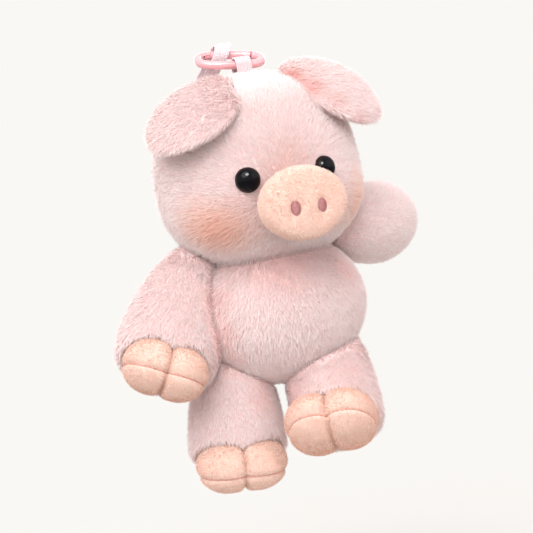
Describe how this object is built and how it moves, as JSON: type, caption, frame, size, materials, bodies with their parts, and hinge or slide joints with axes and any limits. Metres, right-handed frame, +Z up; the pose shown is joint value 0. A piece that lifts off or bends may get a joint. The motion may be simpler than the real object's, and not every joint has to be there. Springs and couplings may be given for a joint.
{
  "type": "plush pig pendant",
  "caption": "Soft plush pig with folded ears, a round muzzle and split trotters, hung by a head tape from an oval gated ring with a knitted strap",
  "frame": {"origin": "middle of the folded hang tape loop on the crown, where the ring passes through", "axes": "+Z up from soles to crown, the face looks along -Y, +X is the pig’s left side"},
  "size_m": [0.152, 0.1177, 0.1946],
  "materials": {
    "pile": "long soft pink pile",
    "nap": "short peach nap",
    "nostril": "dusky pink embroidery thread",
    "wadding": "white polyester wadding",
    "eye": "black gloss moulded button",
    "washer": "natural nylon",
    "paint": "pink enamel on zinc alloy",
    "steel": "bright spring steel",
    "webbing": "pale pink woven and knitted tape"
  },
  "bodies": {
    "head": {"head_cover": "pile", "head_filling": "wadding", "eye_right": "eye", "eye_washer_right": "washer", "eye_left": "eye", "eye_washer_left": "washer", "hang_tape": "webbing", "muzzle_cover": "nap", "muzzle_filling": "wadding", "nostril_right": "nostril", "nostril_left": "nostril"},
    "torso": {"body_cover": "pile", "body_filling": "wadding", "tail": "nap"},
    "ear_right": {"ear_outer_right": "pile", "ear_lining_right": "pile"},
    "ear_left": {"ear_outer_left": "pile", "ear_lining_left": "pile"},
    "arm_right": {"arm_cover_right": "pile", "arm_filling_right": "wadding", "trotter_upper_arm_right": "nap", "trotter_sole_arm_right": "nap"},
    "arm_left": {"arm_cover_left": "pile", "arm_filling_left": "wadding", "trotter_upper_arm_left": "nap", "trotter_sole_arm_left": "nap"},
    "leg_right": {"leg_cover_right": "pile", "leg_filling_right": "wadding", "trotter_upper_leg_right": "nap", "trotter_sole_leg_right": "nap"},
    "leg_left": {"leg_cover_left": "pile", "leg_filling_left": "wadding", "trotter_upper_leg_left": "nap", "trotter_sole_leg_left": "nap"},
    "ring": {"ring_body": "paint", "gate_pin": "steel"},
    "gate": {"ring_gate": "paint", "gate_spring": "steel"},
    "strap": {"strap": "webbing"}
  },
  "joints": [
    {"name": "neck_turn", "type": "hinge", "parent": "head", "child": "torso", "pos_m": [-0.00175, -0.00139, -0.0869], "axis": [0, 0, 1], "range_deg": [-15, 15], "stiffness_Nm_per_rad": 0.3},
    {"name": "ear_lift_right", "type": "hinge", "parent": "head", "child": "ear_right", "pos_m": [-0.0119, -0.01377, -0.0074], "axis": [-0.6058, 0.7046, 0.3694], "range_deg": [0, 45], "stiffness_Nm_per_rad": 0.05},
    {"name": "ear_lift_left", "type": "hinge", "parent": "head", "child": "ear_left", "pos_m": [0.01305, -0.00847, -0.0054], "axis": [-0.4491, -0.685, -0.5737], "range_deg": [0, 45], "stiffness_Nm_per_rad": 0.05},
    {"name": "shoulder_right", "type": "hinge", "parent": "torso", "child": "arm_right", "pos_m": [-0.03775, -0.00539, -0.0824], "axis": [0, 1, 0], "range_deg": [0, 40], "stiffness_Nm_per_rad": 0.2},
    {"name": "shoulder_left", "type": "hinge", "parent": "torso", "child": "arm_left", "pos_m": [0.03225, 0.00161, -0.0824], "axis": [0, 1, 0], "range_deg": [0, 45], "stiffness_Nm_per_rad": 0.2},
    {"name": "hip_right", "type": "hinge", "parent": "torso", "child": "leg_right", "pos_m": [-0.02805, -0.00139, -0.1294], "axis": [1, 0, 0], "range_deg": [-12, 20], "stiffness_Nm_per_rad": 0.25},
    {"name": "hip_left", "type": "hinge", "parent": "torso", "child": "leg_left", "pos_m": [0.01475, -0.00139, -0.1294], "axis": [1, 0, 0], "range_deg": [-8, 10], "stiffness_Nm_per_rad": 0.25},
    {"name": "ring_swing", "type": "hinge", "parent": "head", "child": "ring", "pos_m": [0, 0, 0], "axis": [0.9901, -0.0173, -0.1392], "range_deg": [0, 80]},
    {"name": "gate_open", "type": "hinge", "parent": "ring", "child": "gate", "pos_m": [-0.01335, 0.01169, 0.00705], "axis": [-0.12, 0.4089, -0.9047], "range_deg": [0, 16], "stiffness_Nm_per_rad": 0.004},
    {"name": "strap_swing", "type": "hinge", "parent": "gate", "child": "strap", "pos_m": [-0.00774, 0.01243, 0.00664], "axis": [0.9901, -0.0173, -0.1392], "range_deg": [0, 80]}
  ]
}
